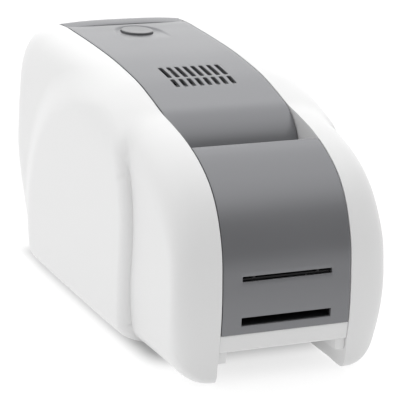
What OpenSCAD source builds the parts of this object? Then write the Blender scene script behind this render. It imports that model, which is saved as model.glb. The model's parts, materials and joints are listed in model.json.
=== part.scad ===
// Desktop id card printer with a hinged top cover, built as separate pieces.
// Points are written with y measured from the front of the casing and z from a
// level just above its underside, and moved so that the origin is on the table
// under the middle of the printer.

/* [Casing] */
// Overall length, front to rear
body_l = 347; // [340:1:360]
// Half width of the grey middle band between the two white casings
band = 58; // [57.5:0.5:60]
// Half width of the white body above the foot
side = 96; // [92:1:100]
// How far the oval field stands out on each side
pod = 8; // [4:1:10]
// Wall thickness of the casings
wall = 2.5; // [2:0.5:3]
// How far the rubber feet stand out below the casings
foot_h = 1; // [0.5:0.5:2]
/* [Cover] */
// Wall thickness of the top cover, front panel and hopper door
skin = 2.5; // [2:0.5:3]
// Height of the cover's hinge axis
hinge_z = 139.5; // [139:0.5:140]
// Distance of the cover's hinge axis from the front
hinge_y = 147.5; // [147:0.5:148]
// Radius of the cover's rounded front end about its hinge axis
knuckle_r = 45.3; // [45:0.1:45.5]
// Radius of the round release button
button_r = 14; // [13:0.5:15]
// Distance of the middle of the button's face from the front
button_y = 302; // [301:0.5:303]
// Travel of the release button
button_travel = 3; // [2:0.5:3]
// Number of vent slots in each of the two rows
vents = 8; // [4:1:10]
// Distance between vent slots
vent_pitch = 7.5; // [6:0.1:7.6]
/* [Slots] */
// Half width of both card slots in the front panel
slot_w = 40.2; // [30:0.1:42]
/* [Card drive] */
// Height of the roller shafts
shaft_z = 76; // [75.5:0.5:76]
// Radius of the driven rollers
roller_r = 7.6; // [7:0.1:7.6]
// Radius of the steel shafts
shaft_r = 3; // [2.5:0.1:3]
// Teeth on each gear of the row of gears
teeth = 20; // [20]
// Running clearance between a pin and its bore
fit = 0.05; // [0.02:0.01:0.1]

/* [Hidden] */
// Places of the circuit board's standoffs on the left frame
STAND = [[120, 45], [245, 45], [130, 89], [245, 138]];

white = [0.93, 0.93, 0.93];
grey = [0.42, 0.42, 0.44];
dark = [0.13, 0.13, 0.14];
steel = [0.72, 0.73, 0.75];
rubber = [0.10, 0.10, 0.11];
amber = [0.86, 0.84, 0.76];

// Outline of the casing seen from the side, at the edge of the band (first
// pair), and where the rounding ends on the flat of the side (second pair).
CP = [[4, -1.3, 26, 24], [0.6, 2, 22, 29], [0, 15, 20, 38], [0, 40, 19, 50], [1.2, 58, 19.5, 64],
  [4, 78, 22, 80], [10, 106, 29, 100], [24, 134.5, 46, 118], [39, 151, 60, 128], [60, 163.8, 77, 136],
  [85, 172.8, 98, 141], [110, 178.2, 118, 145], [129.5, 181.5, 134, 148], [150, 187, 152, 152],
  [175, 192.8, 176, 157], [200, 196, 200, 161], [230, 198.4, 230, 164], [270, 199.4, 268, 165],
  [300, 199.4, 296, 163], [326, 198.8, 314, 158], [338.5, 196.4, 321, 150], [345, 189, 323, 140],
  [347, 176, 323, 128], [347, 140, 322, 110], [346.5, 95, 316, 86], [343.5, 70, 303, 70],
  [338.5, 45, 287, 56], [332, 22, 279, 42], [325, 6, 273, 30], [316, -1, 269, 21], [290, -1.4, 258, 17],
  [200, -1.4, 195, 15], [110, -1.4, 110, 16], [70, -1.4, 70, 20], [28, -1.4, 42, 23]];

// Smooth closed curve through the points (centripetal spline)
function dist(a, b) = max(0.001, sqrt(norm([b[0] - a[0], b[1] - a[1]])));
function smooth(P, k) = [for (i = [0:len(P) - 1]) for (j = [0:k - 1])
  let (m = len(P), p0 = P[(i + m - 1) % m], p1 = P[i], p2 = P[(i + 1) % m], p3 = P[(i + 2) % m],
    d0 = dist(p0, p1), d1 = dist(p1, p2), d2 = dist(p2, p3), t = j / k,
    m1 = (p2 - p1) - (p2 - p0) * (d1 / (d0 + d1)) + (p1 - p0) * (d1 / d0),
    m2 = (p2 - p1) - (p3 - p1) * (d1 / (d1 + d2)) + (p3 - p2) * (d1 / d2))
  p1 * (2 * t * t * t - 3 * t * t + 1) + m1 * (t * t * t - 2 * t * t + t)
  + p2 * (3 * t * t - 2 * t * t * t) + m2 * (t * t * t - t * t)];
function unit2(v) = v / norm(v);

// Half width of the white body, and how far the oval field stands out, at (y, z)
function cl(v) = min(1, max(0, v));
function body_x(z) = side - 8.5 * pow(1 - cl(z / 70), 2);
function pod_out(z) = pod + 8.5 * pow(1 - cl(z / 70), 2) - 5 * pow(1 - cl(z / 80), 2);
// Size of the oval through a point: 1 on its crease, 0 in its middle
mid = [180, 60];
function oval(q) = let (y = abs(q[0] - mid[0]) / (q[0] < mid[0] ? 92 : 118), z = max(0, q[1] - mid[1]) / 129, n = q[0] < mid[0] ? 2.4 : 2.3)
  pow(pow(y, n) + pow(z, n), 1 / n);
// The oval's edge is a crisp step at the front and fades into a soft swell on top
function swing(q, begin, over) = let (t = cl((atan2(max(0, q[1] - mid[1]) / 129, (q[0] - mid[0]) / 100) - begin) / over)) t * t * (3 - 2 * t);
function crisp(q) = swing(q, 118, 22);
function rise(q, s) = let (o = oval(q) * s, d = cl((1 - o) / 0.11), e = cl((1.08 - o) / (0.28 - 0.14 * swing(q, 50, 65))), c = crisp(q))
  c * sqrt(1 - (1 - d) * (1 - d)) + (1 - c) * e * e * (3 - 2 * e);

// The way of one rib of the wall: g runs from 0 at the band edge to 1 where
// the rounding ends and on to 2 in the middle of the oval.
function way(o, i, g) = g < 1 ? o + (i - o) * g : i + (mid - i) * (g - 1);
function crease(o, i, s, lo, hi, k) = let (g = (lo + hi) / 2)
  k == 0 ? g : oval(way(o, i, g)) * s > 1 ? crease(o, i, s, g, hi, k - 1) : crease(o, i, s, lo, g, k - 1);
function wall_point(o, i, g, x0, in) = let (q = way(o, i, g), h = g < 1 ? pow(1 - pow(1 - g, 2.5), 0.4) : 1)
  [x0 + (body_x(q[1]) - in - x0 + pod_out(q[1]) * rise(q, 1 + in / 90)) * h, q[0], q[1]];

RING = smooth(CP, 2);
FS = [0, 0.12, 0.25, 0.4, 0.55, 0.7, 0.85, 1];
US = [0.012, 0.03, 0.06, 0.1, 0.22, 0.45, 0.75];
// Where the rings of one rib gather: at the crease where that is crisp
function gather(o, i, s) = let (g = oval(o) * s > 1 ? crease(o, i, s, 0, 2, 12) : 1, c = crisp(way(o, i, g))) max(0.1, 1 + (g - 1) * c);
function wall_rings(in) = let (x0 = in == 0 ? band : band + wall, ways = [for (p = RING) let (o = [p[0], p[1]], i = [p[2], p[3]],
    o2 = o + unit2(i - o) * in) [o2, i, gather(o2, i, 1 + in / 90)]])
  concat([for (f = FS) [for (w = ways) wall_point(w[0], w[1], w[2] * (1 - pow(cos(90 * f), 0.8)), x0, in)]],
    [for (u = US) [for (w = ways) wall_point(w[0], w[1], w[2] + (2 - w[2]) * u, x0, in)]]);
function edge_ring(x, k) = [for (p = RING) let (o = [p[0], p[1]], i = [p[2], p[3]], q = o + (i - o) * k) [x, q[0], q[1]]];

module casing() {
  outer = wall_rings(0);
  inner = wall_rings(wall);
  k = len(outer);
  rings = concat([edge_ring(band, 1.25)], outer, [for (i = [k - 1:-1:0]) inner[i]], [edge_ring(band + wall, 1.25)]);
  n = len(RING);
  m = len(rings);
  points = concat([for (r = rings) each r], [wall_point(mid, mid, 2, band, 0), wall_point(mid, mid, 2, band, wall)]);
  strip = [for (r = [0:m - 1]) if (r != k) for (i = [0:n - 1]) let (a = r * n + i, b = r * n + (i + 1) % n,
    c = ((r + 1) % m) * n + i, d = ((r + 1) % m) * n + (i + 1) % n) each [[a, b, d], [a, d, c]]];
  fans = [for (i = [0:n - 1]) let (j = (i + 1) % n) each [[k * n + i, k * n + j, m * n],
    [(k + 1) * n + j, (k + 1) * n + i, m * n + 1]]];
  polyhedron(points = points, faces = concat(strip, fans), convexity = 8);
}

// The casings reach this far below the level the heights are written from
drop = 1.4;
module at() translate([0, -body_l / 2, foot_h + drop]) children();
// Plate across the printer: the outline is in (y, z)
module across(x0, x1) translate([x0, 0, 0]) rotate([90, 0, 90]) linear_extrude(height = x1 - x0) children();
// Round bar across the printer
module bar(r, x0, x1, y, z) translate([x0, y, z]) rotate([0, 90, 0]) cylinder(r = r, h = x1 - x0, $fn = 64);
module box(x0, x1, y0, y1, z0, z1) translate([x0, y0, z0]) cube([x1 - x0, y1 - y0, z1 - z0]);
module both() { children(); mirror([1, 0, 0]) children(); }

// Band profile, front to rear, and the same curve moved inwards
PROF = smooth(CP, 3);
function part_of(a, b) = [for (i = [a:b]) [PROF[i][0], PROF[i][1]]];
function inset(P, d) = [for (i = [0:len(P) - 1]) let (a = P[max(0, i - 1)], b = P[min(len(P) - 1, i + 1)], t = unit2(b - a))
  P[i] + [t[1], -t[0]] * d];
function rev(P) = [for (i = [len(P) - 1:-1:0]) P[i]];
function arc(c, r, a0, a1, n) = [for (i = [0:n]) let (a = a0 + (a1 - a0) * i / n) c + r * [cos(a), sin(a)]];
hinge = [hinge_y, hinge_z];

module base_tray() color(dark) at() difference() {
  union() {
    box(-band, band, 12, 331, 24.5, 27);
    both() box(band - 2, band, 12, 40, 27, 32);
    box(-40, 40, 12, 15, 27, 36);
  }
  for (y = [60, 200, 310]) both() translate([50, y, 20]) cylinder(r = 1.5, h = 20, $fn = 32);
}

module front_crossbar() color(white) at() {
  across(-band + 0.2, band - 0.2) polygon([[2.5, 24.5], [12, 24.5], [12, 39.4], [0.6, 39.4], [0.6, 26.4], [1.2, 25.1]]);
  both() box(49.5, band - 0.2, 2.5, 30, 15, 24.5);
}

module left_casing() color(white) at() mirror([1, 0, 0]) casing();
module right_casing() color(white) at() casing();

module front_panel() color(grey) at() difference() {
  F = concat([[0, 39.5]], part_of(10, 28), [[76, 169.9]]);
  G = inset(F, skin);
  lip = [[76, 169.9], [77.5, 168.6], [86, 158], [99.5, 153], [99.5, 150.8], [84.6, 156], [74.5, 166.4]];
  across(-band + 0.8, band - 0.8) polygon(concat(F, [for (i = [1:len(lip) - 1]) lip[i]], [for (i = [len(G) - 3:-1:0]) G[i]]));
  box(-slot_w, slot_w, -5, 15, 81.6, 85.8);
  box(-slot_w, slot_w, -5, 15, 46.3, 53);
}

module rear_panel() color(grey) at() difference() {
  across(-band + 0.6, band - 0.6) polygon([[332.8, 24.5], [338.5, 45], [343.5, 70], [346.3, 93.2], [343.8, 93.2],
    [341, 70], [336, 45], [331, 27], [331, 24.5]]);
  box(-41, -27, 325, 350, 45, 59);
  box(-8, 10, 325, 350, 45.5, 58.5);
  box(27, 39, 325, 350, 46, 57);
}

module frame_plate(x0, x1) difference() {
  union() {
    across(x0, x1) difference() {
      polygon(concat([[26, 27], [328, 27], [333, 50], [338, 92], [345.6, 96], [345.6, 103], [336, 104], [326, 160], [240, 160], [231, 130],
        [203, 130], [196, 100], [164, 97]], arc(hinge, 13, -20, 200, 16), [[131, 97], [108, 98], [97, 124], [72, 124], [64, 98], [26, 98]]));
      translate([256, 45]) square([64, 22]);
      translate([54, 36]) square([44, 20]);
    }
    box(min(x0, x0 > 0 ? 46 : x0), max(x1, x1 < 0 ? -46 : x1), 40, 320, 27, 29);
  }
  bar(3, -60, 60, hinge_y, hinge_z);
  bar(1.5, -60, 60, 341.5, 99.5);
  for (y = [44, 124, 164, 204, 244]) bar(4.5, -60, 60, y, shaft_z);
  for (p = [[217, 117], [84, 112]]) bar(4.5, -60, 60, p[0], p[1]);
  for (y = [124, 204]) bar(1.5 + fit, -60, 60, y, 88.4);
  for (y = [60, 200, 310]) both() translate([50, y, 20]) cylinder(r = 1.5, h = 20, $fn = 32);
}
module left_frame() color(steel) at() difference() {
  frame_plate(-56, -54);
  for (p = STAND) bar(1.5, -60, -50, p[0], p[1]);
}
module right_frame() color(steel) at() difference() {
  frame_plate(54, 56);
  bar(2.5 + fit, 50, 60, 144, 58);
  for (y = [64, 84, 104, 144, 184, 224]) bar(2.5, 50, 60, y, shaft_z);
}

module rubber_feet() color(rubber) at() for (y = [46, 284]) both() translate([65, y, -drop - foot_h])
  cylinder(r = 5, h = foot_h - 0.06, $fn = 48);

module frame_screws() color(steel) at() for (y = [60, 200, 310]) both() translate([50, y, 24.5]) {
  cylinder(r = 1.5, h = 5, $fn = 32);
  translate([0, 0, 4.5]) difference() {
    cylinder(r = 2.9, h = 2, $fn = 32);
    translate([0, 0, 1]) cylinder(r = 1.2, h = 3, $fn = 6);
  }
}

module cover_hinge_pins() color(steel) at() both() bar(3, 48.6, 56, hinge_y, hinge_z);
module door_hinge_rod() color(steel) at() bar(1.5, -56, 56, 341.5, 99.5);

module bush(x, y, z) difference() { bar(4.5, x, x + 2.6, y, z); bar(shaft_r + fit, x - 1, x + 4, y, z); }
module shaft_bushes() color(amber) at() {
  for (y = [44, 124, 164, 204, 244]) { bush(53.7, y, shaft_z); bush(-56.3, y, shaft_z); }
  for (p = [[217, 117], [84, 112]]) { bush(53.7, p[0], p[1]); bush(-56.3, p[0], p[1]); }
}

module card_bed() color(dark) at() difference() {
  union() {
    box(-54, 54, 8, 234, 81.4, 83.3);
    both() box(27.5, 30, 8, 234, 81.4, 86.4);
  }
  for (y = [44, 124, 164, 204]) box(-26, 26, y - 7, y + 7, 78, 84);
}

module card_hopper() color(dark) at() difference() {
  union() {
    box(-54, 54, 234, 326, 81.4, 83.3);
    both() box(27.8, 30.2, 234, 326, 83.3, 150);
    box(-27.8, 27.8, 234, 236.4, 84.6, 150);
  }
  box(-26, 26, 237, 251, 78, 84);
}

module exit_chute() color(dark) at() {
  across(-44, 44) polygon([[3.2, 43.4], [112, 64.5], [112, 66.5], [3.2, 45.4]]);
  both() across(42, 44) polygon([[3.2, 43.4], [112, 64.5], [112, 72], [60, 64], [3.2, 52]]);
  both() across(44, 54) polygon([[14, 45.5], [34, 49.4], [34, 51.4], [14, 47.5]]);
  both() across(44, 54) polygon([[90, 60.2], [108, 63.7], [108, 65.7], [90, 62.2]]);
}

module latch_strikes() color(steel) at() both() {
  box(33, 54, 292, 300, 155.4, 158);
  box(52, 54, 288, 304, 150, 155.4);
}

module drive_motor() color(steel) at() difference() {
  union() { bar(17, 14, 52, 144, 58); bar(9, 52, 54, 144, 58); bar(6, 10, 14, 144, 58); }
  bar(2.5 + fit, 30, 60, 144, 58);
}

module take_up_motor() color(steel) at() difference() {
  union() { bar(12, -86, -57, 84, 112); difference() { bar(8, -57, -56, 84, 112); bar(5, -57, -55, 84, 112); } }
  bar(2 + fit, -70, -50, 84, 112);
}

module main_board() color([0.08, 0.30, 0.18]) at() {
  difference() {
    box(-65.6, -64, 112, 251, 40, 145);
    for (p = STAND) bar(1.5, -70, -60, p[0], p[1]);
  }
  box(-68, -65.6, 150, 174, 90, 114);
  box(-71, -65.6, 190, 235, 50, 60);
  box(-70, -65.6, 120, 132, 55, 82);
}
module board_standoffs() color(amber) at() for (p = STAND) {
  bar(3, -64, -56, p[0], p[1]);
  bar(1.5, -66.5, -54, p[0], p[1]);
}

module power_inlet() color(dark) at() difference() {
  box(-41, -27, 328, 342.2, 45, 59);
  translate([-34, 344.2, 52]) rotate([90, 0, 0]) cylinder(r = 4, h = 12, $fn = 64);
}
module data_port() color(steel) at() difference() {
  box(27, 39, 328, 342.2, 46, 57);
  box(28.7, 37.3, 333, 350, 47.6, 55.4);
}
module switch_housing() color(dark) at() difference() {
  box(-8, 10, 331, 342.2, 45.5, 58.5);
  box(-6.5, 8.5, 334, 350, 47, 57);
  bar(1.5 + fit, -7.6, 9.6, 339.8, 52);
}
module power_switch() color(rubber) at() {
  bar(1.5, -7.5, 9.5, 339.8, 52);
  across(-6, 8) polygon(concat(arc([339.8, 52], 4.2, 100, 260, 12), [[341.4, 47.9], [343.2, 48.8], [342.2, 52], [341.4, 56.1]]));
}

module ribbon_film() color(rubber) at() across(-27, 27)
  polygon([[84.4, 102.6], [156, 85.9], [172, 85.9], [211, 104.2], [211, 104.45], [172, 86.15], [156, 86.15], [84.4, 102.85]]);

module idler_axles() color(steel) at() for (y = [64, 84, 104, 144, 184, 224]) bar(2.5, 54, 63, y, shaft_z);

module top_cover() color(grey) at() difference() {
  union() {
    // rounded front end, top wall
    C = concat(rev(arc(hinge, knuckle_r, 106, 158, 16)), part_of(39, 56), [[323, 198.8]]);
    across(-band + 1, band - 1) polygon(concat(C, rev(inset(C, skin))));
    // side skirts
    both() across(54.9, band - 1) polygon(concat([[140, 172]], arc(hinge, 44, 100, 106, 2), part_of(40, 56),
      [[323, 198.6], [323, 190], [200, 183], [160, 178]]));
    // bosses for the latch bracket
    both() box(42, 46, 284, 316, 186, 197);
    // hinge arms
    both() across(50, 53) union() {
      translate(hinge) circle(r = 8, $fn = 64);
      polygon([[141, 141], [154, 141], [175, 178], [190, 193.4], [150, 185.6], [134, 179.6]]);
    }
  }
  bars_off = vent_pitch * (vents - 1) / 2;
  for (i = [0:vents - 1]) for (r = [[165.5, 178.5], [181.5, 202]])
    translate([i * vent_pitch - bars_off, 0, 150]) {
      translate([-2, r[0] + 2, 0]) cube([4, r[1] - r[0] - 4, 60]);
      for (y = [r[0] + 2, r[1] - 2]) translate([0, y, 0]) cylinder(r = 2, h = 60, $fn = 24);
    }
  translate([0, 295.5, 198]) cylinder(r = 22.5, h = 10, $fn = 96);
  translate([0, button_y, 180]) cylinder(r = button_r + 0.4, h = 30, $fn = 64);
  both() bar(3 + fit, 40, 60, hinge_y, hinge_z);
}

module head_bracket() color(steel) at() {
  difference() {
    across(-40, 40) polygon([[160, 97], [162.5, 97], [162.5, 182], [176, 187], [174, 189.2], [160, 184.9]]);
    for (x = [-24, 0, 24]) translate([x - 6, 150, 130]) cube([12, 20, 30]);
  }
  box(-40, 40, 158, 168, 95, 97);
  both() box(38, 50, 160, 162.5, 162, 182);
}
module thermal_printhead() color([0.55, 0.5, 0.42]) at() across(-31, 31)
  polygon([[159, 95], [168.5, 95], [168.5, 88.4], [165.6, 86.7], [162.4, 86.7], [159, 88.4]]);
module head_heat_sink() color(steel) at() {
  box(-30, 30, 162.5, 165, 99, 126);
  for (i = [0:9]) box(-30 + i * 6.4, -27.6 + i * 6.4, 165, 176, 99, 126);
}

module latch_bracket() color(dark) at() difference() {
  union() {
    box(-46, 46, 280, 320, 184, 186);
    both() box(28, 31, 281, 291, 171, 184);
  }
  translate([0, 305, 180]) cylinder(r = 3.4, h = 10, $fn = 48);
  bar(1.5 + fit, -40, 40, 286, 176);
}

// Helical spring under the button: a ring of short straight rods
coil_r = 6; wire_r = 0.5; turns = 3;
module button_spring() color(steel) at() translate([0, 305, 186.6]) {
  k = 16;
  s = 6;
  pts = [for (i = [0:k * turns]) let (a = 360 * i / k) [coil_r * cos(a), coil_r * sin(a), 4.8 * i / (k * turns)]];
  sec = [for (i = [0:len(pts) - 1]) let (a = 360 * i / k) for (j = [0:s - 1]) let (b = 360 * j / s)
    pts[i] + wire_r * (cos(b) * [cos(a), sin(a), 0] + sin(b) * [0, 0, 1])];
  m = len(pts);
  polyhedron(points = sec, faces = concat([[for (j = [0:s - 1]) j]], [[for (j = [s - 1:-1:0]) (m - 1) * s + j]],
    [for (i = [0:m - 2]) for (j = [0:s - 1]) let (a = i * s + j, b = i * s + (j + 1) % s, c = a + s, d = b + s)
      each [[a, c, d], [a, d, b]]]));
}

module release_button() color(grey) at() {
  // the face slopes down to the rear
  translate([0, button_y, 192.4]) difference() {
    rotate_extrude($fn = 96) polygon([[0, 0], [16.5, 0], [16.5, 1.6], [button_r, 1.6], [button_r, 10], [0, 10]]);
    translate([0, 0, 7.6]) rotate([-3.4, 0, 0]) translate([-20, -20, 0]) cube([40, 40, 10]);
  }
  translate([0, 305, 181]) cylinder(r = 3, h = 12, $fn = 48);
}

module latch_hook() color(steel) at() {
  bar(1.5, -39, 39, 286, 176);
  both() across(34, 38) polygon([[284, 151], [290.5, 151], [291.6, 152.4], [291.6, 154], [288, 154], [288, 178], [284, 178]]);
  across(-3.5, 3.5) polygon([[284, 173.8], [288, 173.8], [306, 178], [306, 180], [304, 180], [288, 178], [284, 178]]);
  bar(1.5, -3.5, 3.5, 305, 179.2);
}

module hopper_door() color(grey) at() difference() {
  R = concat([[324.2, 198.6], [327, 199.1], [331, 199.6], [334.5, 199.8], [338, 199], [341.5, 196.6], [344, 193]], part_of(63, 68), [[347, 110], [346.8, 96]]);
  union() {
    across(-band + 1, band - 1) polygon(concat(R, rev(inset(R, skin))));
    both() across(44, 52) union() {
      translate([341.5, 99.5]) circle(r = 4, $fn = 48);
      polygon([[338.5, 101], [346, 97], [346, 116], [342, 116]]);
    }
  }
  both() box(53.4, 60, 330, 350, 90, 105.2);
  bar(1.5 + fit, -60, 60, 341.5, 99.5);
}

module card_weight() color(dark) at() difference() {
  union() { box(-26.8, 26.8, 238, 323, 83.8, 88.4); box(-10, 10, 270, 290, 88.4, 96.4); }
  box(-7.5, 7.5, 272.5, 287.5, 89.4, 100);
}

module roller(y, x, r) { bar(shaft_r, -57, 63, y, shaft_z); bar(r, -x, x, y, shaft_z); }
module feed_roller() color(rubber) at() roller(244, 20, 7.4);
module cleaning_roller() color([0.75, 0.45, 0.25]) at() roller(204, 25, roller_r);
module platen_roller() color(rubber) at() roller(164, 25, roller_r);
module transport_roller() color(rubber) at() roller(124, 25, roller_r);
module exit_roller() color(rubber) at() roller(44, 25, roller_r);
module pinch(y) { bar(1.5, -57, 57, y, 88.4); bar(4, -24, 24, y, 88.4); }
module rear_pinch_roller() color(steel) at() pinch(204);
module front_pinch_roller() color(steel) at() pinch(124);

// Spur gear of module 1, a tooth pointing along +y when turn is 0
module gear(y, z, n, turn, bore, x0 = 57, x1 = 62) translate([0, y, z]) difference() {
  p = 360 / n;
  across(x0, x1) polygon([for (i = [0:n - 1]) each
    [for (q = [[-0.29, n / 2 - 1.22], [-0.1, n / 2 + 0.85], [0.1, n / 2 + 0.85], [0.29, n / 2 - 1.22]])
      let (a = turn + p * (i + q[0])) q[1] * [cos(a), sin(a)]]]);
  bar(bore, x0 - 1, x1 + 1, 0, 0);
}
module feed_gear() color(amber) at() gear(244, shaft_z, teeth, 0, shaft_r);
module cleaning_gear() color(amber) at() gear(204, shaft_z, teeth, 0, shaft_r);
module platen_gear() color(amber) at() gear(164, shaft_z, teeth, 0, shaft_r);
module transport_gear() color(amber) at() gear(124, shaft_z, teeth, 0, shaft_r);
module exit_gear() color(amber) at() gear(44, shaft_z, teeth, 0, shaft_r);
module idler(y, turn) gear(y, shaft_z, teeth, turn, 2.5 + fit);
module idler_gear_1() color(white) at() idler(224, 9);
module idler_gear_2() color(white) at() idler(184, 9);
module idler_gear_3() color(white) at() idler(144, 9);
module idler_gear_4() color(white) at() idler(104, 9);
module idler_gear_5() color(white) at() idler(84, 0);
module idler_gear_6() color(white) at() idler(64, 9);
module motor_pinion() color(steel) at() {
  gear(144, 58, 16, 0, 2.5);
  bar(2.5, 40, 63, 144, 58);
}

module spool(y, z) {
  bar(shaft_r, -57, 56.6, y, z);
  bar(6, -34, 34, y, z);
  for (x = [-34, 32.5]) bar(14, x, x + 1.5, y, z);
}
module supply_spool() color(white) at() spool(217, 117);
module supply_ribbon_roll() color(rubber) at() difference() { bar(13, -30, 30, 217, 117); bar(6, -31, 31, 217, 117); }
module take_up_spool() color(white) at() spool(84, 112);
module take_up_ribbon_roll() color(rubber) at() difference() { bar(9, -30, 30, 84, 112); bar(6, -31, 31, 84, 112); }

base_tray();
front_crossbar();
left_casing();
right_casing();
front_panel();
rear_panel();
left_frame();
right_frame();
rubber_feet();
frame_screws();
cover_hinge_pins();
door_hinge_rod();
shaft_bushes();
card_bed();
card_hopper();
exit_chute();
latch_strikes();
drive_motor();
take_up_motor();
main_board();
board_standoffs();
power_inlet();
data_port();
switch_housing();
ribbon_film();
idler_axles();
top_cover();
head_bracket();
thermal_printhead();
head_heat_sink();
latch_bracket();
button_spring();
release_button();
latch_hook();
hopper_door();
card_weight();
feed_roller();
cleaning_roller();
platen_roller();
transport_roller();
exit_roller();
rear_pinch_roller();
front_pinch_roller();
feed_gear();
cleaning_gear();
platen_gear();
transport_gear();
exit_gear();
idler_gear_1();
idler_gear_2();
idler_gear_3();
idler_gear_4();
idler_gear_5();
idler_gear_6();
motor_pinion();
supply_spool();
supply_ribbon_roll();
take_up_spool();
take_up_ribbon_roll();
power_switch();
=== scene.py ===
import json
import math

import bpy
import numpy as np
from mathutils import Matrix, Vector
from mathutils.geometry import delaunay_2d_cdt


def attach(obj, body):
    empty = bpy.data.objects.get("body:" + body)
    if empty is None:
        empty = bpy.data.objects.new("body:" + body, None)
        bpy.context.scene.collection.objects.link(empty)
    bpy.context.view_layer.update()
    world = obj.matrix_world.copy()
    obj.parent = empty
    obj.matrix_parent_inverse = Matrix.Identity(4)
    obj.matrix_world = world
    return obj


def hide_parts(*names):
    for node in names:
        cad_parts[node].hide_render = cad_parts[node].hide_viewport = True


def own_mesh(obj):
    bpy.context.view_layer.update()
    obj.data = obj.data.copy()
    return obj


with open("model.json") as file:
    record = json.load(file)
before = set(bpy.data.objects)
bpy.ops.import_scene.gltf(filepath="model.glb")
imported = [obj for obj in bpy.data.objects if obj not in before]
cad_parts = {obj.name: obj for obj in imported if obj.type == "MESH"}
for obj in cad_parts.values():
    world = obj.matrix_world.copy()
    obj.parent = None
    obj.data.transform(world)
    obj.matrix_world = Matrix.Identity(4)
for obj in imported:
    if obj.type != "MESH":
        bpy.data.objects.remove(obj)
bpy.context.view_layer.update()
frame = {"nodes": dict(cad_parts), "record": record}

LENGTH, LIFT, BAND, WALL, SKIN = 347.0, 2.4, 58.0, 2.5, 2.5
HINGE = np.array([147.5, 139.5])
KNUCKLE = 45.3


def to_m(points):
    """Points with y from the front and z from the casing's level, in mm, to the row frame in metres."""
    p = np.array(points, float)
    return (p + np.array([0.0, -LENGTH / 2, LIFT])) / 1000


# ------------------------------------------------------------------ outline
CP = np.array([
    [4, -1.3, 26, 24], [0.6, 2, 22, 29], [0, 15, 20, 38], [0, 40, 19, 50], [1.2, 58, 19.5, 64],
    [4, 78, 22, 80], [10, 106, 29, 100], [24, 134.5, 46, 118], [39, 151, 60, 128], [60, 163.8, 77, 136],
    [85, 172.8, 98, 141], [110, 178.2, 118, 145], [129.5, 181.5, 134, 148], [150, 187, 152, 152],
    [175, 192.8, 176, 157], [200, 196, 200, 161], [230, 198.4, 230, 164], [270, 199.4, 268, 165],
    [300, 199.4, 296, 163], [326, 198.8, 314, 158], [338.5, 196.4, 321, 150], [345, 189, 323, 140],
    [347, 176, 323, 128], [347, 140, 322, 110], [346.5, 95, 316, 86], [343.5, 70, 303, 70],
    [338.5, 45, 287, 56], [332, 22, 279, 42], [325, 6, 273, 30], [316, -1, 269, 21], [290, -1.4, 258, 17],
    [200, -1.4, 195, 15], [110, -1.4, 110, 16], [70, -1.4, 70, 20], [28, -1.4, 42, 23]], float)
MID = np.array([180.0, 60.0])


def spline(P, counts):
    m, out = len(P), []
    for i in range(m):
        p0, p1, p2, p3 = P[i - 1], P[i], P[(i + 1) % m], P[(i + 2) % m]
        d0, d1, d2 = (max(np.linalg.norm((b - a)[:2]) ** 0.5, 1e-3) for a, b in ((p0, p1), (p1, p2), (p2, p3)))
        m1 = (p2 - p1) - (p2 - p0) * d1 / (d0 + d1) + (p1 - p0) * d1 / d0
        m2 = (p2 - p1) - (p3 - p1) * d1 / (d1 + d2) + (p3 - p2) * d1 / d2
        t = np.linspace(0, 1, counts[i], endpoint=False)[:, None]
        out.append((2 * t**3 - 3 * t**2 + 1) * p1 + (t**3 - 2 * t**2 + t) * m1
                   + (-2 * t**3 + 3 * t**2) * p2 + (t**3 - t**2) * m2)
    return np.vstack(out)


def through(points, k=8):
    """Smooth open curve through given points."""
    P = np.array(points, float)
    P = np.vstack([2 * P[0] - P[1], P, 2 * P[-1] - P[-2]])
    R = spline(P, [k] * len(P))
    return np.vstack([R[k:k * (len(P) - 2)], P[-2]])


def body_x(z):
    return 96 - 8.5 * (1 - np.clip(z / 70, 0, 1)) ** 2


def pod_out(z):
    return 8 + 8.5 * (1 - np.clip(z / 70, 0, 1)) ** 2 - 5 * (1 - np.clip(z / 80, 0, 1)) ** 2


def oval(y, z):
    front = y < MID[0]
    n = np.where(front, 2.4, 2.3)
    return ((np.abs(y - MID[0]) / np.where(front, 92, 118)) ** n + (np.clip(z - MID[1], 0, None) / 129) ** n) ** (1 / n)


def swing(y, z, begin, over):
    """Smooth step over the angle about the middle of the side, from the rear to the nose."""
    t = np.clip((np.degrees(np.arctan2(np.clip(z - MID[1], 0, None) / 129, (y - MID[0]) / 100)) - begin) / over, 0, 1)
    return t * t * (3 - 2 * t)


def crisp(y, z):
    return swing(y, z, 118, 22)


def rise(y, z, s=1.0):
    c, o = crisp(y, z), oval(y, z) * s
    d, e = np.clip((1 - o) / 0.11, 0, 1), np.clip((1.08 - o) / (0.28 - 0.14 * swing(y, z, 50, 65)), 0, 1)
    return c * np.sqrt(1 - (1 - d) ** 2) + (1 - c) * e * e * (3 - 2 * e)


def way(O, I, g):
    g = g[..., None]
    return np.where(g < 1, O + (I - O) * g, I + (MID - I) * (g - 1))


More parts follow.
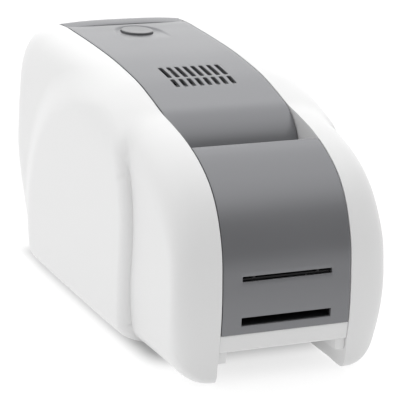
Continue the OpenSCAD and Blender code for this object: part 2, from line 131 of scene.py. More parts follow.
def casing_rings(R, F, U, inside):
    """Rings of points of one casing's wall, from the band edge to the middle of the side."""
    s = 1 + inside / 90
    O, I = R[:, :2].copy(), R[:, 2:]
    O += (I - O) / np.linalg.norm(I - O, axis=1)[:, None] * inside
    lo, hi = np.zeros(len(R)), np.full(len(R), 2.0)
    for _ in range(30):
        g = (lo + hi) / 2
        q = way(O, I, g)
        out = oval(q[:, 0], q[:, 1]) * s > 1
        lo, hi = np.where(out, g, lo), np.where(out, hi, g)
    g = np.where(oval(O[:, 0], O[:, 1]) * s > 1, (lo + hi) / 2, 1.0)
    q = way(O, I, g)
    G = np.maximum(0.03, 1 + (g - 1) * crisp(q[:, 0], q[:, 1]))
    T = 1 - np.cos(np.pi / 2 * F) ** 0.8
    g = np.vstack([G[None] * T[:, None], G[None] + (2 - G[None]) * U[:, None]])
    q = way(O[None], I[None], g)
    h = np.where(g < 1, (1 - (1 - np.clip(g, 0, 1)) ** 2.5) ** 0.4, 1.0)
    x0 = BAND if inside == 0 else BAND + WALL
    y, z = q[..., 0], q[..., 1]
    x = x0 + (body_x(z) - inside - x0 + pod_out(z) * rise(y, z, s)) * h
    return np.concatenate([x[..., None], q], -1)


def new_mesh(name, verts, faces, material, body, stands_for=None, smooth=True):
    me = bpy.data.meshes.new(name)
    me.from_pydata([tuple(v) for v in verts], [], faces)
    me.validate()
    me.update()
    if smooth:
        me.polygons.foreach_set("use_smooth", [True] * len(me.polygons))
    ob = bpy.data.objects.new(name, me)
    bpy.context.scene.collection.objects.link(ob)
    me.materials.append(material)
    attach(ob, body)
    if stands_for:
        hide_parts(stands_for)
    return ob


def sharpen(me, degrees):
    """Marks edges sharper than the angle, so that smooth shading stops there."""
    me.update()
    normals = np.zeros(len(me.polygons) * 3)
    me.polygons.foreach_get("normal", normals)
    normals = normals.reshape(-1, 3)
    owners = {}
    for p in me.polygons:
        for k in p.edge_keys:
            owners.setdefault(k, []).append(p.index)
    limit = math.cos(math.radians(degrees))
    for e in me.edges:
        f = owners.get(tuple(sorted(e.vertices)), [])
        if len(f) != 2 or normals[f[0]] @ normals[f[1]] < limit:
            e.use_edge_sharp = True


def ring_faces(m, n, start=0, flip=False):
    faces = []
    for r in range(m - 1):
        a = start + r * n
        for i in range(n):
            j = (i + 1) % n
            f = (a + i, a + j, a + n + j, a + n + i)
            faces.append(f[::-1] if flip else f)
    return faces


def build_casing(name, sign, material):
    counts = [12] * len(CP)
    for i in (31, 32, 33):
        counts[i] = 44
    R = spline(CP, counts)
    n = len(R)
    F = np.linspace(0, 1, 30)[1:]
    U = np.linspace(0, 1, 61)[1:-1] ** 1.7
    outer = casing_rings(R, F, U, 0.0)
    inner = casing_rings(R, np.array([0, 0.15, 0.35, 0.6, 1.0]), np.array([0.05, 0.15, 0.4, 0.7]), WALL)
    O, I = R[:, :2], R[:, 2:]
    u = (I - O) / np.linalg.norm(I - O, axis=1)[:, None]

    def flat_ring(x, q):
        return np.column_stack([np.full(n, x), q])

    r = 0.5
    edge = [flat_ring(BAND, O + (I - O) * 1.25)]
    for a in np.radians([0, 18, 36, 54, 72, 90]):
        edge.append(flat_ring(BAND + r * (1 - math.cos(a)), O + u * r * (1 - math.sin(a))))
    rings = np.concatenate([np.array(edge), outer])
    inside = np.concatenate([inner[::-1], [flat_ring(BAND + WALL, O + (I - O) * 1.25)]])
    m1, m2 = len(rings), len(inside)
    verts = np.concatenate([rings.reshape(-1, 3), inside.reshape(-1, 3)])
    top = outer[-1].mean(0)
    under = inner[-1].mean(0)
    verts = np.vstack([verts, top, under])
    faces = ring_faces(m1, n) + ring_faces(m2, n, m1 * n)
    last, first = (m1 - 1) * n, m1 * n
    end = (m1 + m2 - 1) * n
    for i in range(n):
        j = (i + 1) % n
        faces.append((last + i, last + j, len(verts) - 2))
        faces.append((first + j, first + i, len(verts) - 1))
        faces.append((end + i, end + j, j, i))
    verts = to_m(verts)
    if sign < 0:
        verts[:, 0] *= -1
        faces = [f[::-1] for f in faces]
    ob = new_mesh(name, verts, faces, material, "printer_body", name.replace("_shell", ""))
    sharpen(ob.data, 50)
    return ob


# ------------------------------------------------------------------ shells
def profile(points):
    """Curve by arc length: s -> ((y, z), outward normal)."""
    P = np.array(points, float)
    d = np.linalg.norm(np.diff(P, axis=0), axis=1)
    P = P[np.concatenate([[True], d > 1e-6])]
    S = np.concatenate([[0], np.cumsum(np.linalg.norm(np.diff(P, axis=0), axis=1))])
    T = np.gradient(P, S, axis=0)
    T /= np.linalg.norm(T, axis=1)[:, None]
    N = np.column_stack([-T[:, 1], T[:, 0]])

    def at(s):
        s = np.asarray(s, float)
        y, z = np.interp(s, S, P[:, 0]), np.interp(s, S, P[:, 1])
        ny, nz = np.interp(s, S, N[:, 0]), np.interp(s, S, N[:, 1])
        k = np.hypot(ny, nz)
        return y, z, ny / k, nz / k

    return at, S, P


def rounded_rect(x0, x1, s0, s1, r, k=6):
    pts = []
    for cx, cs, a0 in ((x1 - r, s1 - r, 0), (x0 + r, s1 - r, 90), (x0 + r, s0 + r, 180), (x1 - r, s0 + r, 270)):
        for i in range(k + 1):
            a = math.radians(a0 + 90 * i / k)
            pts.append((cx + r * math.cos(a), cs + r * math.sin(a)))
    return np.array(pts)


def thicken(loop, longest):
    """Adds points along a closed loop's long sides."""
    out = []
    for i in range(len(loop)):
        a, b = loop[i], loop[(i + 1) % len(loop)]
        k = max(1, int(math.ceil(np.linalg.norm(b - a) / longest)))
        out += [a + (b - a) * t / k for t in range(k)]
    return np.array(out)


def grow(loop, d):
    """Offsets a closed counter-clockwise loop outwards by d."""
    a, b = np.roll(loop, 1, 0), np.roll(loop, -1, 0)
    e1, e2 = loop - a, b - loop
    n1 = np.column_stack([e1[:, 1], -e1[:, 0]]) / np.maximum(np.linalg.norm(e1, axis=1), 1e-9)[:, None]
    n2 = np.column_stack([e2[:, 1], -e2[:, 0]]) / np.maximum(np.linalg.norm(e2, axis=1), 1e-9)[:, None]
    m = n1 + n2
    return loop + d * m * (2 / np.maximum((m * m).sum(1), 0.5))[:, None]


def inside_loop(loop, p):
    a, b = loop, np.roll(loop, -1, 0)
    if p[0] < a[:, 0].min() or p[0] > a[:, 0].max() or p[1] < a[:, 1].min() or p[1] > a[:, 1].max():
        return False
    cross = ((a[:, 1] > p[1]) != (b[:, 1] > p[1])) & (
        p[0] < (b[:, 0] - a[:, 0]) * (p[1] - a[:, 1]) / np.where(b[:, 1] == a[:, 1], 1e-12, b[:, 1] - a[:, 1]) + a[:, 0])
    return bool(cross.sum() % 2)


def shell(name, outer, holes, at, material, body, stands_for, step=4.0, bump=None, thickness=SKIN, r=0.4, dense=()):
    """A skin with rounded edges over the profile: outer and holes are loops in (x, s)."""
    verts, faces = [], []

    def lay(xs, depth, use_bump=True):
        xs = np.asarray(xs)
        y, z, ny, nz = at(xs[:, 1])
        d = np.full(len(xs), float(depth))
        if bump is not None and use_bump:
            d = d - bump(xs[:, 0], y)
        return np.column_stack([xs[:, 0], y - ny * d, z - nz * d])

    def add(points):
        start = sum(len(v) for v in verts)
        verts.append(points)
        return start

    def sheet(loops, depth, spacing, flip, use_bump):
        pts, edges = [], []
        for loop in loops:
            k = len(pts)
            pts += [Vector(p) for p in loop]
            edges += [(k + i, k + (i + 1) % len(loop)) for i in range(len(loop))]
        border = len(pts)
        lo, hi = loops[0].min(0), loops[0].max(0)
        grid = [(x, s) for x in np.arange(lo[0] + spacing / 2, hi[0], spacing) for s in np.arange(lo[1] + spacing / 2, hi[1], spacing)]
        for (x0, x1, s0, s1, q) in dense:
            if spacing < 6:
                grid += [(x, s) for x in np.arange(x0, x1, q) for s in np.arange(s0, s1, q)]
        grid = np.array(grid)
        keep = np.ones(len(grid), bool)
        for loop in loops:
            a, b = loop, np.roll(loop, -1, 0)
            d = b - a
            t = np.clip(((grid[:, None] - a) * d).sum(-1) / np.maximum((d * d).sum(-1), 1e-12), 0, 1)
            near = np.linalg.norm(grid[:, None] - (a + t[..., None] * d), axis=-1).min(1)
            keep &= near > 0.5
        pts += [Vector(p) for p in grid[keep]]
        v, _, f, given, _, _ = delaunay_2d_cdt(pts, edges, [], 4, 1e-6)
        xs = np.array([tuple(p) for p in v])
        found = {i: k for k, ids in enumerate(given) for i in ids}
        start = add(lay(xs, depth, use_bump))
        holes_here = loops[1:]
        for t in f:
            t = tuple(t)
            if any(inside_loop(h, sum(xs[i] for i in t) / len(t)) for h in holes_here):
                continue
            a, b, c = (xs[i] for i in t[:3])
            ccw = (b[0] - a[0]) * (c[1] - a[1]) - (b[1] - a[1]) * (c[0] - a[0]) > 0
            if ccw == flip:
                t = t[::-1]
            faces.append(tuple(start + i for i in t))
        out, k = [], 0
        for loop in loops:
            out.append([start + found[k + i] for i in range(len(loop))])
            k += len(loop)
        return out

    signs = [-1] + [1] * len(holes)
    loops = [outer] + list(holes)
    face_loops = [grow(L, s * r) for L, s in zip(loops, signs)]
    up = sheet(face_loops, 0, step, False, True)
    down = sheet(loops, thickness, 14.0, True, False)
    for L, s, a_ids, b_ids in zip(loops, signs, up, down):
        previous = a_ids
        for a in np.radians([22.5, 45, 67.5, 90]):
            start = add(lay(grow(L, s * r * (1 - math.sin(a))), r * (1 - math.cos(a))))
            ids = list(range(start, start + len(L)))
            for i in range(len(L)):
                j = (i + 1) % len(L)
                q = (previous[i], ids[i], ids[j], previous[j])
                faces.append(q if s < 0 else q[::-1])
            previous = ids
        for i in range(len(L)):
            j = (i + 1) % len(L)
            q = (previous[i], b_ids[i], b_ids[j], previous[j])
            faces.append(q if s < 0 else q[::-1])
    ob = new_mesh(name, to_m(np.vstack(verts)), faces, material, body, stands_for)
    sharpen(ob.data, 50)
    return ob


def prism(name, outline, x0, x1, material, body, stands_for=None, r=0.5, parts=None):
    """A moulded bar across the printer with rounded long edges and end corners."""
    verts, faces = [], []
    for o, a0, a1 in (parts or [(outline, x0, x1)]):
        o = np.array(o, float)
        area = 0.5 * np.sum(o[:, 0] * np.roll(o[:, 1], -1) - np.roll(o[:, 0], -1) * o[:, 1])
        if area < 0:
            o = o[::-1]
        o = fillet(o, r)
        n = len(o)
        base = len(verts)
        first = [(a0 + r * (1 - math.sin(a)), grow(o, -r * (1 - math.cos(a)))) for a in np.radians([0, 30, 60, 90])]
        seq = first[::-1] + [(a1 - (x - a0), q) for x, q in first]
        for x, q in seq:
            verts += [(x, p[0], p[1]) for p in q]
        m = len(seq)
        for k in range(m - 1):
            for i in range(n):
                j = (i + 1) % n
                faces.append((base + k * n + i, base + k * n + j, base + (k + 1) * n + j, base + (k + 1) * n + i))
        faces.append(tuple(base + i for i in range(n))[::-1])
        faces.append(tuple(base + (m - 1) * n + i for i in range(n)))
    ob = new_mesh(name, to_m(verts), faces, material, body, stands_for)
    sharpen(ob.data, 40)
    return ob


def fillet(o, r, k=4):
    """Rounds the corners of a closed counter-clockwise outline."""
    out, n = [], len(o)
    for i in range(n):
        a, b, c = o[i - 1], o[i], o[(i + 1) % n]
        u, v = (a - b), (c - b)
        lu, lv = np.linalg.norm(u), np.linalg.norm(v)
        u, v = u / lu, v / lv
        turn = math.pi - math.acos(np.clip(u @ v, -1, 1))
        if turn < 0.2:
            out.append(b)
            continue
        d = min(r * math.tan(turn / 2), 0.45 * lu, 0.45 * lv)
        p, q = b + u * d, b + v * d
        for t in np.linspace(0, 1, k + 1):
            out.append((1 - t) ** 2 * p + 2 * t * (1 - t) * b + t * t * q)
    return np.array(out)


def lathe(name, pts, y, material, body, stands_for=None, n=128, tilt=0.0, above=1e9):
    """A turned shape about a vertical axis at (0, y); what lies above a level slopes to the rear."""
    verts, faces = [], []
    m = len(pts)
    pts = [(float(r), float(z)) for r, z in pts]
    for r, z in pts:
        if r < 1e-6:
            verts.append((0, y, z))
        else:
            verts += [(r * math.cos(2 * math.pi * i / n), y + r * math.sin(2 * math.pi * i / n), z) for i in range(n)]
    index, k = [], 0
    for r, z in pts:
        index.append(k)
        k += 1 if r < 1e-6 else n
    for a in range(m - 1):
        for i in range(n):
            j = (i + 1) % n
            p, q = index[a], index[a + 1]
            if pts[a][0] < 1e-6:
                faces.append((p, q + j, q + i))
            elif pts[a + 1][0] < 1e-6:
                faces.append((p + i, p + j, q))
            else:
                faces.append((p + i, p + j, q + j, q + i))
    verts = [(a, b, c - tilt * (b - y) if c > above else c) for a, b, c in verts]
    ob = new_mesh(name, to_m(verts), faces, material, body, stands_for)
    sharpen(ob.data, 40)
    return ob


# ------------------------------------------------------------------ materials
def nodes_of(name):
    m = bpy.data.materials.new(name)
    m.use_nodes = True
    t = m.node_tree
    return m, t, t.nodes["Principled BSDF"]


def plastic(name, color, rough=0.35, spread=0.04, grain=0.00012, grain_size=5200.0, specular=0.5, mottle=0.03, coat=0.0, wave=0.0, metallic=0.0, ior=1.46):
    """Moulded plastic: a spark-eroded grain, slow changes of gloss and tone."""
    m, t, b = nodes_of(name)
    n, l = t.nodes, t.links
    co = n.new("ShaderNodeTexCoord")
    slow = n.new("ShaderNodeTexNoise"); slow.inputs["Scale"].default_value = 14.0; slow.inputs["Detail"].default_value = 4.0
    l.new(co.outputs["Object"], slow.inputs["Vector"])
    fine = n.new("ShaderNodeTexNoise"); fine.inputs["Scale"].default_value = grain_size; fine.inputs["Detail"].default_value = 2.0
    l.new(co.outputs["Object"], fine.inputs["Vector"])
    ramp = n.new("ShaderNodeMix"); ramp.data_type = "RGBA"
    ramp.inputs["A"].default_value = (*[c * (1 - mottle) for c in color], 1)
    ramp.inputs["B"].default_value = (*[min(1, c * (1 + mottle)) for c in color], 1)
    l.new(slow.outputs["Fac"], ramp.inputs["Factor"])
    l.new(ramp.outputs["Result"], b.inputs["Base Color"])
    rr = n.new("ShaderNodeMapRange")
    rr.inputs["From Min"].default_value = 0.3; rr.inputs["From Max"].default_value = 0.7
    rr.inputs["To Min"].default_value = rough - spread; rr.inputs["To Max"].default_value = rough + spread
    l.new(slow.outputs["Fac"], rr.inputs["Value"])
    l.new(rr.outputs["Result"], b.inputs["Roughness"])
    bump = n.new("ShaderNodeBump"); bump.inputs["Distance"].default_value = grain; bump.inputs["Strength"].default_value = 0.35
    l.new(fine.outputs["Fac"], bump.inputs["Height"])
    l.new(bump.outputs["Normal"], b.inputs["Normal"])
    b.inputs["IOR"].default_value = ior
    b.inputs["Specular IOR Level"].default_value = specular
    b.inputs["Metallic"].default_value = metallic
    if coat:
        b.inputs["Coat Weight"].default_value = coat
        b.inputs["Coat Roughness"].default_value = 0.25
    return m


def metal(name, color, rough, stretch=(1, 40, 1), grain=0.00002, scale=300.0, patch=0.06):
    """Sheet or turned metal with fine drawn lines and slow staining."""
    m, t, b = nodes_of(name)
    n, l = t.nodes, t.links
    co = n.new("ShaderNodeTexCoord")
    mp = n.new("ShaderNodeMapping"); mp.inputs["Scale"].default_value = stretch
    l.new(co.outputs["Object"], mp.inputs["Vector"])
    lines = n.new("ShaderNodeTexNoise"); lines.inputs["Scale"].default_value = scale; lines.inputs["Detail"].default_value = 3.0
    l.new(mp.outputs["Vector"], lines.inputs["Vector"])
    slow = n.new("ShaderNodeTexNoise"); slow.inputs["Scale"].default_value = 45.0; slow.inputs["Detail"].default_value = 5.0
    l.new(co.outputs["Object"], slow.inputs["Vector"])
    mix = n.new("ShaderNodeMix"); mix.data_type = "RGBA"
    mix.inputs["A"].default_value = (*[c * (1 - patch) for c in color], 1)
    mix.inputs["B"].default_value = (*[min(1, c * (1 + patch)) for c in color], 1)
    l.new(slow.outputs["Fac"], mix.inputs["Factor"])
    l.new(mix.outputs["Result"], b.inputs["Base Color"])
    rr = n.new("ShaderNodeMapRange")
    rr.inputs["To Min"].default_value = rough * 0.75; rr.inputs["To Max"].default_value = rough * 1.3
    l.new(lines.outputs["Fac"], rr.inputs["Value"])
    l.new(rr.outputs["Result"], b.inputs["Roughness"])
    bump = n.new("ShaderNodeBump"); bump.inputs["Distance"].default_value = grain; bump.inputs["Strength"].default_value = 0.3
    l.new(lines.outputs["Fac"], bump.inputs["Height"])
    l.new(bump.outputs["Normal"], b.inputs["Normal"])
    b.inputs["Metallic"].default_value = 1.0
    return m


def board(name):
    """Green circuit board: solder mask with copper runs and pads."""
    m, t, b = nodes_of(name)
    n, l = t.nodes, t.links
    co = n.new("ShaderNodeTexCoord")
    mp = n.new("ShaderNodeMapping"); mp.inputs["Rotation"].default_value = (0, math.pi / 2, 0)
    l.new(co.outputs["Object"], mp.inputs["Vector"])
    brick = n.new("ShaderNodeTexBrick")
    brick.inputs["Scale"].default_value = 120.0
    brick.inputs["Color1"].default_value = (0.015, 0.16, 0.06, 1)
    brick.inputs["Color2"].default_value = (0.02, 0.19, 0.075, 1)
    brick.inputs["Mortar"].default_value = (0.05, 0.28, 0.12, 1)
    brick.inputs["Mortar Size"].default_value = 0.05
    brick.inputs["Brick Width"].default_value = 0.9
    l.new(mp.outputs["Vector"], brick.inputs["Vector"])
    l.new(brick.outputs["Color"], b.inputs["Base Color"])
    slow = n.new("ShaderNodeTexNoise"); slow.inputs["Scale"].default_value = 60.0
    l.new(co.outputs["Object"], slow.inputs["Vector"])
    rr = n.new("ShaderNodeMapRange"); rr.inputs["To Min"].default_value = 0.25; rr.inputs["To Max"].default_value = 0.45
    l.new(slow.outputs["Fac"], rr.inputs["Value"])
    l.new(rr.outputs["Result"], b.inputs["Roughness"])
    bump = n.new("ShaderNodeBump"); bump.inputs["Distance"].default_value = 0.00006; bump.inputs["Strength"].default_value = 0.5
    l.new(brick.outputs["Fac"], bump.inputs["Height"])
    l.new(bump.outputs["Normal"], b.inputs["Normal"])
    return m


MAT = {
    "white_plastic": plastic("white_plastic", (0.805, 0.805, 0.805), rough=0.38, spread=0.03, mottle=0.006, grain=0.00005, specular=0.4),
    "grey_plastic": plastic("grey_plastic", (0.206, 0.208, 0.218), rough=0.30, spread=0.02, mottle=0.02, grain=0.00006, specular=0.5, metallic=0.4),
    "button_plastic": plastic("button_plastic", (0.190, 0.192, 0.199), rough=0.33, spread=0.03, mottle=0.02, grain=0.00006, metallic=0.35),
    "black_plastic": plastic("black_plastic", (0.022, 0.022, 0.024), rough=0.5, spread=0.06, mottle=0.15, grain=0.0001),
    "zinc_plated_steel": metal("zinc_plated_steel", (0.62, 0.63, 0.62), 0.42, patch=0.12),
    "bright_steel": metal("bright_steel", (0.72, 0.72, 0.73), 0.24, stretch=(40, 1, 1)),
    "natural_nylon": plastic("natural_nylon", (0.74, 0.70, 0.58), rough=0.45, spread=0.06, mottle=0.05, grain=0.00005),
    "white_nylon": plastic("white_nylon", (0.82, 0.82, 0.79), rough=0.45, spread=0.06, mottle=0.03, grain=0.00005),
    "brass": metal("brass", (0.78, 0.56, 0.25), 0.3),
    "heat_sink_alloy": metal("heat_sink_alloy", (0.55, 0.56, 0.58), 0.45, stretch=(1, 1, 30)),
    "printhead_ceramic": plastic("printhead_ceramic", (0.42, 0.34, 0.22), rough=0.3, spread=0.08, mottle=0.1, grain=0.00003),
    "motor_steel": metal("motor_steel", (0.20, 0.20, 0.21), 0.4, stretch=(40, 1, 1)),
    "circuit_board": board("circuit_board"),
    "black_rubber": plastic("black_rubber", (0.02, 0.02, 0.021), rough=0.75, spread=0.08, mottle=0.2, grain=0.00012, grain_size=3000.0, specular=0.3),
    "cleaning_rubber": plastic("cleaning_rubber", (0.42, 0.16, 0.06), rough=0.6, spread=0.08, mottle=0.1, grain=0.00008, grain_size=3000.0, specular=0.4),
    "ribbon_foil": plastic("ribbon_foil", (0.02, 0.02, 0.03), rough=0.18, spread=0.05, mottle=0.25, grain=0.00002, grain_size=900.0),
}

# ------------------------------------------------------------------ pieces
PROF = spline(CP, [24] * len(CP))[:, :2]


def between(a, b):
    """The band profile from control point a to b, fractions allowed."""
    return PROF[int(round(a * 24)):int(round(b * 24)) + 1]


def s_at(at_, S, y=None, z=None, low=0.0):
    """Arc length at which the profile passes a given y or z."""
    s = np.linspace(low, S[-1], 8000)
    yy, zz, _, _ = at_(s)
    v = np.abs(yy - y) if y is not None else np.abs(zz - z)
    return float(s[np.argmin(v)])


build_casing("left_casing_shell", -1, MAT["white_plastic"])
build_casing("right_casing_shell", 1, MAT["white_plastic"])

# front panel with its two slots
front = between(3, 28 / 3)
front = np.vstack([[[0.0, 39.5]], front[front[:, 1] > 39.8], [[76.0, 169.9]]])
at_f, S_f, _ = profile(front)
slots = []
for z0, z1 in ((81.6, 85.8), (46.3, 53.0)):
    a, b = s_at(at_f, S_f, z=z0), s_at(at_f, S_f, z=z1)
    slots.append(thicken(rounded_rect(-40.2, 40.2, a, b, 0.5, 4), 5.0))
outer = thicken(rounded_rect(-BAND + 0.8, BAND - 0.8, 0, S_f[-1], 0.4, 3), 4.0)
shell("front_panel_skin", outer, slots, at_f, MAT["grey_plastic"], "printer_body", "front_panel", step=4.0)

# the panel's lip that runs on under the cover
lip = profile([[76, 169.9], [77.6, 168.2], [80, 164.8], [83, 160.8], [86, 158], [90, 156.2], [99.5, 153]])
outer = thicken(rounded_rect(-BAND + 0.8, BAND - 0.8, 0, lip[1][-1], 0.3, 3), 5.0)
shell("front_panel_lip", outer, [], lip[0], MAT["grey_plastic"], "printer_body", None, thickness=2.0, r=0.3)

# top cover
arc = [HINGE + KNUCKLE * np.array([math.cos(math.radians(a)), math.sin(math.radians(a))]) for a in np.linspace(158, 106, 60)]
top = between(13, 56 / 3)
top = np.vstack([arc, top[top[:, 0] < 322.0], [[323.0, 198.9]]])
at_c, S_c, _ = profile(top)
holes = []
for i in range(8):
    for y0, y1 in ((165.5, 178.5), (181.5, 202.0)):
        x = (i - 3.5) * 7.5
        a, b = s_at(at_c, S_c, y=y0, low=20), s_at(at_c, S_c, y=y1, low=20)
        holes.append(thicken(rounded_rect(x - 2.0, x + 2.0, a, b, 1.4, 5), 4.0))
by = 302.0
sb = s_at(at_c, S_c, y=by, low=60)
holes.append(np.array([(14.4 * math.cos(2 * math.pi * i / 96), sb + 14.4 * math.sin(2 * math.pi * i / 96)) for i in range(96)]))


def smooth_step(v):
    v = np.clip(v, 0, 1)
    return v * v * (3 - 2 * v)


def dish(x, y):
    """The thumb dish round the release button: a round rear wall, open and fading out in front."""
    r = np.hypot(x, np.maximum(y - 295.5, 0))
    ring = 1 - smooth_step((r - 19.6) / 3.4)
    fade = smooth_step((y - 272) / 36)
    return -1.5 * ring * fade


outer = thicken(rounded_rect(-BAND + 1.0, BAND - 1.0, 0, S_c[-1], 0.4, 3), 3.0)
shell("top_cover_skin", outer, holes, at_c, MAT["grey_plastic"], "top_cover", "top_cover",
      step=4.0, bump=dish, dense=[(-26, 26, sb - 34, S_c[-1], 0.9)])

# release button: its face slopes down to the rear, over a flange and an eccentric stem
lathe("release_button_cap", [(0, 192.4), (16.3, 192.4), (16.5, 192.6), (16.5, 193.8), (16.3, 194.0), (14.0, 194.0), (14.0, 199.2),
      (13.95, 199.45), (13.8, 199.66), (13.55, 199.8), (13.2, 199.86), (11.0, 199.84), (8.0, 199.8), (4.0, 199.78), (0, 199.77)][::-1],
      by, MAT["button_plastic"], "release_button", "release_button", tilt=0.0594, above=198.0)
lathe("release_button_stem", [(0, 181), (2.6, 181), (2.9, 181.1), (3.0, 181.4), (3.0, 192.3), (2.6, 192.6), (0, 192.6)][::-1],
      305.0, MAT["button_plastic"], "release_button", None, n=64)

# the button's spring, a coil of round wire, built at one length (the real one shortens as the button goes down)
turns, k, sides = 3, 40, 10
coil, faces = [], []
for i in range(turns * k + 1):
    a, t = 2 * math.pi * i / k, min(1, max(0, (i / k - 0.35) / (turns - 0.7)))
    for j in range(sides):
        b = 2 * math.pi * j / sides
        r = 6 + 0.5 * math.cos(b)
        coil.append((r * math.cos(a), 305 + r * math.sin(a), 186.6 + 4.8 * t + 0.5 * math.sin(b)))
for i in range(turns * k):
    for j in range(sides):
        p, q = i * sides + j, i * sides + (j + 1) % sides
        faces.append((p, p + sides, q + sides, q))
faces += [tuple(range(sides)), tuple(turns * k * sides + j for j in reversed(range(sides)))]
spring = new_mesh("button_spring_coil", to_m(coil), faces, MAT["bright_steel"], "top_cover", "button_spring")
sharpen(spring.data, 60)
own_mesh(spring)

# hopper door: rear strip, rear corner and the door's outer face
rear = between(21, 24)
rear = np.vstack([through([[324.2, 198.6], [327, 199.1], [331, 199.6], [334.5, 199.8], [338, 199.0], [341.5, 196.6], [344.0, 193.0], list(rear[0])])[:-1],
                  rear, [[346.8, 110.0], [346.6, 96.0]]])
at_d, S_d, _ = profile(rear)
sa = s_at(at_d, S_d, z=105.4, low=60)
door = [(-BAND + 1.0, 0.0), (BAND - 1.0, 0.0), (BAND - 1.0, sa), (53.4, sa), (53.4, S_d[-1]), (-53.4, S_d[-1]), (-53.4, sa), (-BAND + 1.0, sa)]


def crown(x, y):
    """The door's top strip bulges in the middle and falls away at its ends."""
    along = smooth_step((y - 321.5) / 6) * smooth_step((345 - y) / 8)
    return along * (0.8 - 2.0 * (np.abs(x) / 57) ** 3)


outer = thicken(fillet(np.array(door), 0.6, 3), 2.5)
shell("hopper_door_skin", outer, [], at_d, MAT["grey_plastic"], "hopper_door", "hopper_door", step=4.0,
      bump=crown, dense=[(-57, 57, 0.5, 26, 1.7)])
prism("hopper_door_hinge_lugs", None, 0, 0, MAT["grey_plastic"], "hopper_door", None, r=0.4, parts=[
    ([(343.6, 104.6), (338.6, 102.2), (337.5, 99.5), (338.6, 96.6), (341.5, 95.5), (344.6, 96.8), (344.6, 115.0), (343.0, 115.0)], a, b)
    for a, b in ((-52, -44), (44, 52))])

# rear panel with the cut-outs for the sockets and the switch
panel = profile([[346.3, 93.2], [343.5, 70], [338.5, 45], [332.8, 24.5]])
at_r, S_r, _ = panel
cuts = []
for x0, x1, z0, z1 in ((-41, -27, 45, 59), (-8, 10, 45.5, 58.5), (27, 39, 46, 57)):
    a, b = sorted((s_at(at_r, S_r, z=z0), s_at(at_r, S_r, z=z1)))
    cuts.append(thicken(rounded_rect(x0, x1, a, b, 0.8, 4), 3.0))
outer = thicken(rounded_rect(-BAND + 0.6, BAND - 0.6, 0, S_r[-1], 0.5, 3), 4.0)
shell("rear_panel_skin", outer, cuts, at_r, MAT["grey_plastic"], "printer_body", "rear_panel", step=4.0)

# crossbar between the legs, with its two stepped blocks
prism("front_crossbar_bar", None, 0, 0, MAT["white_plastic"], "printer_body", "front_crossbar", r=0.6, parts=[
    ([(2.5, 24.5), (12, 24.5), (12, 39.4), (0.6, 39.4), (0.6, 26.4), (1.2, 25.1)], -BAND + 0.2, BAND - 0.2),
    ([(2.5, 15), (30, 15), (30, 24.8), (2.5, 24.8)], 49.5, BAND - 0.2),
    ([(2.5, 15), (30, 15), (30, 24.8), (2.5, 24.8)], -BAND + 0.2, -49.5)])

# cover's inner pieces: side skirts, bosses and hinge arms stay with the cover
skirt = [(140, 172), (147.5 + 44 * math.cos(math.radians(104)), 139.5 + 44 * math.sin(math.radians(104)))]
edge_top = between(40 / 3, 56 / 3)[::8] - np.array([0, 0.6])
edge_top = edge_top[edge_top[:, 0] < 322.0]
skirt = [(140, 172), (137.6, 181.6)] + [tuple(p - np.array([0, 1.0])) for p in edge_top[1:]] + [(322.6, 197.4), (322.6, 190), (200, 183), (160, 178)]
prism("top_cover_skirts", None, 0, 0, MAT["grey_plastic"], "top_cover", None, r=0.3, parts=[
    (skirt, 54.9, BAND - 1.3), (skirt, -BAND + 1.3, -54.9),
    ([(284, 186), (316, 186), (316, 197), (284, 197)], 42, 46), ([(284, 186), (316, 186), (316, 197), (284, 197)], -46, -42)])


def hinge_arm():
    """One hinge arm with its round eye about the hinge pin."""
    out = []
    for a in np.linspace(205, 360 - 30, 26):
        out.append((HINGE[0] + 8 * math.cos(math.radians(a)), HINGE[1] + 8 * math.sin(math.radians(a))))
    out += [(154.5, 141), (175, 178), (190, 192.2), (150, 184.6), (134.5, 179.0)]
    return out


prism("top_cover_arms", None, 0, 0, MAT["grey_plastic"], "top_cover", None, r=0.3, parts=[
    (hinge_arm(), 50, 53), (hinge_arm(), -53, -50)])

# every other node keeps its shape and gets its own finish; the shown ones are welded, and the listed ones get their
# edges broken
record = frame["record"]
slot_of = {p["node"]: p["material_slot"] for p in record["subparts"]}
hidden = {n for n, o in frame["nodes"].items() if o.hide_render}
for name, ob in frame["nodes"].items():
    ob.data.materials.clear()
    ob.data.materials.append(MAT[slot_of[name]])
    if name in hidden:
        continue
    weld = ob.modifiers.new("weld", "WELD")
    weld.merge_threshold = 0.000002
    if name in ("base_tray", "left_frame", "right_frame", "card_bed", "card_hopper", "exit_chute", "power_inlet", "data_port", "switch_housing",
                "card_weight", "head_bracket", "latch_bracket", "drive_motor", "take_up_motor", "rubber_feet", "power_switch", "latch_strikes"):
        bev = ob.modifiers.new("edges", "BEVEL")
        bev.width = 0.00025 if name in ("left_frame", "right_frame", "head_bracket", "latch_strikes") else 0.0004
        bev.segments = 2
        bev.limit_method = "ANGLE"
        bev.angle_limit = math.radians(40)
        bev.harden_normals = False

# ------------------------------------------------------------------ stage
def stage_mesh(name, verts, faces):
    me = bpy.data.meshes.new(name)
    me.from_pydata(verts, [], faces)
    ob = bpy.data.objects.new(name, me)
    bpy.context.scene.collection.objects.link(ob)
    return ob


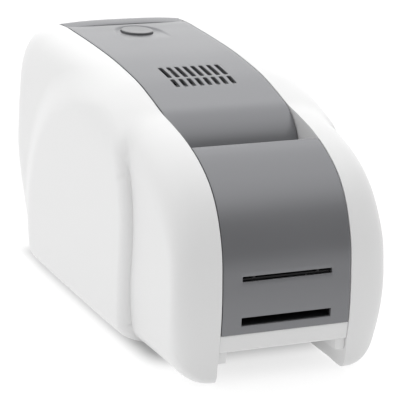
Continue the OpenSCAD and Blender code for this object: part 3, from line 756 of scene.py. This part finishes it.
GLOW = 0.76
floor = stage_mesh("floor", [(-9, -9, 0), (9, -9, 0), (9, 9, 0), (-9, 9, 0)], [(0, 1, 2, 3)])
m, t, b = nodes_of("floor")
noise = t.nodes.new("ShaderNodeTexNoise"); noise.inputs["Scale"].default_value = 3.0
mix = t.nodes.new("ShaderNodeMix"); mix.data_type = "RGBA"
mix.inputs["A"].default_value = (0.29, 0.29, 0.29, 1); mix.inputs["B"].default_value = (0.31, 0.31, 0.31, 1)
t.links.new(noise.outputs["Fac"], mix.inputs["Factor"])
t.links.new(mix.outputs["Result"], b.inputs["Base Color"])
b.inputs["Roughness"].default_value = 0.9
b.inputs["Specular IOR Level"].default_value = 0.1
b.inputs["Emission Color"].default_value = (1, 1, 1, 1)
# the glow fades under the printer, which gives a soft contact shadow
where = t.nodes.new("ShaderNodeTexCoord")
parts = t.nodes.new("ShaderNodeSeparateXYZ")
t.links.new(where.outputs["Object"], parts.inputs["Vector"])
wide = t.nodes.new("ShaderNodeMath"); wide.operation = "ABSOLUTE"
t.links.new(parts.outputs["X"], wide.inputs[0])
factors = []
for source, a0, a1 in ((wide.outputs["Value"], 0.100, 0.075), (parts.outputs["Y"], -0.140, -0.095), (parts.outputs["Y"], 0.160, 0.130)):
    mr = t.nodes.new("ShaderNodeMapRange"); mr.interpolation_type = "SMOOTHSTEP"
    mr.inputs["From Min"].default_value = a0; mr.inputs["From Max"].default_value = a1
    t.links.new(source, mr.inputs["Value"])
    factors.append(mr.outputs["Result"])
both = t.nodes.new("ShaderNodeMath"); both.operation = "MULTIPLY"
t.links.new(factors[0], both.inputs[0]); t.links.new(factors[1], both.inputs[1])
under = t.nodes.new("ShaderNodeMath"); under.operation = "MULTIPLY"
t.links.new(both.outputs["Value"], under.inputs[0]); t.links.new(factors[2], under.inputs[1])
glow = t.nodes.new("ShaderNodeMapRange")
glow.inputs["To Min"].default_value = GLOW; glow.inputs["To Max"].default_value = GLOW * 0.3
t.links.new(under.outputs["Value"], glow.inputs["Value"])
t.links.new(glow.outputs["Result"], b.inputs["Emission Strength"])
floor.data.materials.append(m)

scene = bpy.context.scene
world = bpy.data.worlds.new("studio")
scene.world = world
world.use_nodes = True
wt = world.node_tree
bg = wt.nodes["Background"]
bg.inputs["Color"].default_value = (1, 1, 1, 1)
# soft boxes round the object: direction, where the light begins and where it is full (cosines), strength
BOXES = [
    ((0.0, 0.0, 1.0), 0.45, 0.82, 0.96),
    ((0.45, 0.83, 0.33), 0.75, 0.97, 0.6),
    ((0.0, 1.0, 0.0), -0.6, 1.0, 0.9),
    ((-1.0, 0.0, 0.1), -0.2, 1.0, 0.31),
    ((1.0, 0.0, 0.1), -0.2, 1.0, 0.2),
    ((0.85, -0.4, 0.35), 0.4, 0.95, 0.09),
    ((0.5, -0.3, 0.8), 0.88, 0.98, 0.3),
]
AMBIENT = 0.02
way_in = wt.nodes.new("ShaderNodeTexCoord")
total = None
for direction, begin, full, power in BOXES:
    dot = wt.nodes.new("ShaderNodeVectorMath"); dot.operation = "DOT_PRODUCT"
    dot.inputs[1].default_value = Vector(direction).normalized()
    wt.links.new(way_in.outputs["Generated"], dot.inputs[0])
    mr = wt.nodes.new("ShaderNodeMapRange"); mr.interpolation_type = "SMOOTHSTEP"
    mr.inputs["From Min"].default_value = begin; mr.inputs["From Max"].default_value = full
    mr.inputs["To Min"].default_value = 0.0; mr.inputs["To Max"].default_value = power
    wt.links.new(dot.outputs["Value"], mr.inputs["Value"])
    add = wt.nodes.new("ShaderNodeMath"); add.operation = "ADD"
    wt.links.new(mr.outputs["Result"], add.inputs[0])
    if total is None:
        add.inputs[1].default_value = AMBIENT
    else:
        wt.links.new(total, add.inputs[1])
    total = add.outputs["Value"]
wt.links.new(total, bg.inputs["Strength"])

cam_data = bpy.data.cameras.new("camera")
cam = bpy.data.objects.new("camera", cam_data)
scene.collection.objects.link(cam)
scene.camera = cam
a, e, r = math.radians(-28.523), math.radians(19.309), math.radians(5.054)
back = Vector((math.sin(a) * math.cos(e), -math.cos(a) * math.cos(e), math.sin(e)))
right = (-back).cross(Vector((0, 0, 1))).normalized()
up = right.cross(-back)
x_axis = math.cos(r) * right + math.sin(r) * up
y_axis = -math.sin(r) * right + math.cos(r) * up
cam.matrix_world = Matrix((
    (x_axis.x, y_axis.x, back.x, -0.88855), (x_axis.y, y_axis.y, back.y, -1.64853),
    (x_axis.z, y_axis.z, back.z, 0.74607), (0, 0, 0, 1)))
cam_data.sensor_width = 36.0
cam_data.lens = 211.66
cam_data.clip_start, cam_data.clip_end = 0.05, 40.0

scene.view_settings.view_transform = "Standard"
scene.view_settings.look = "None"
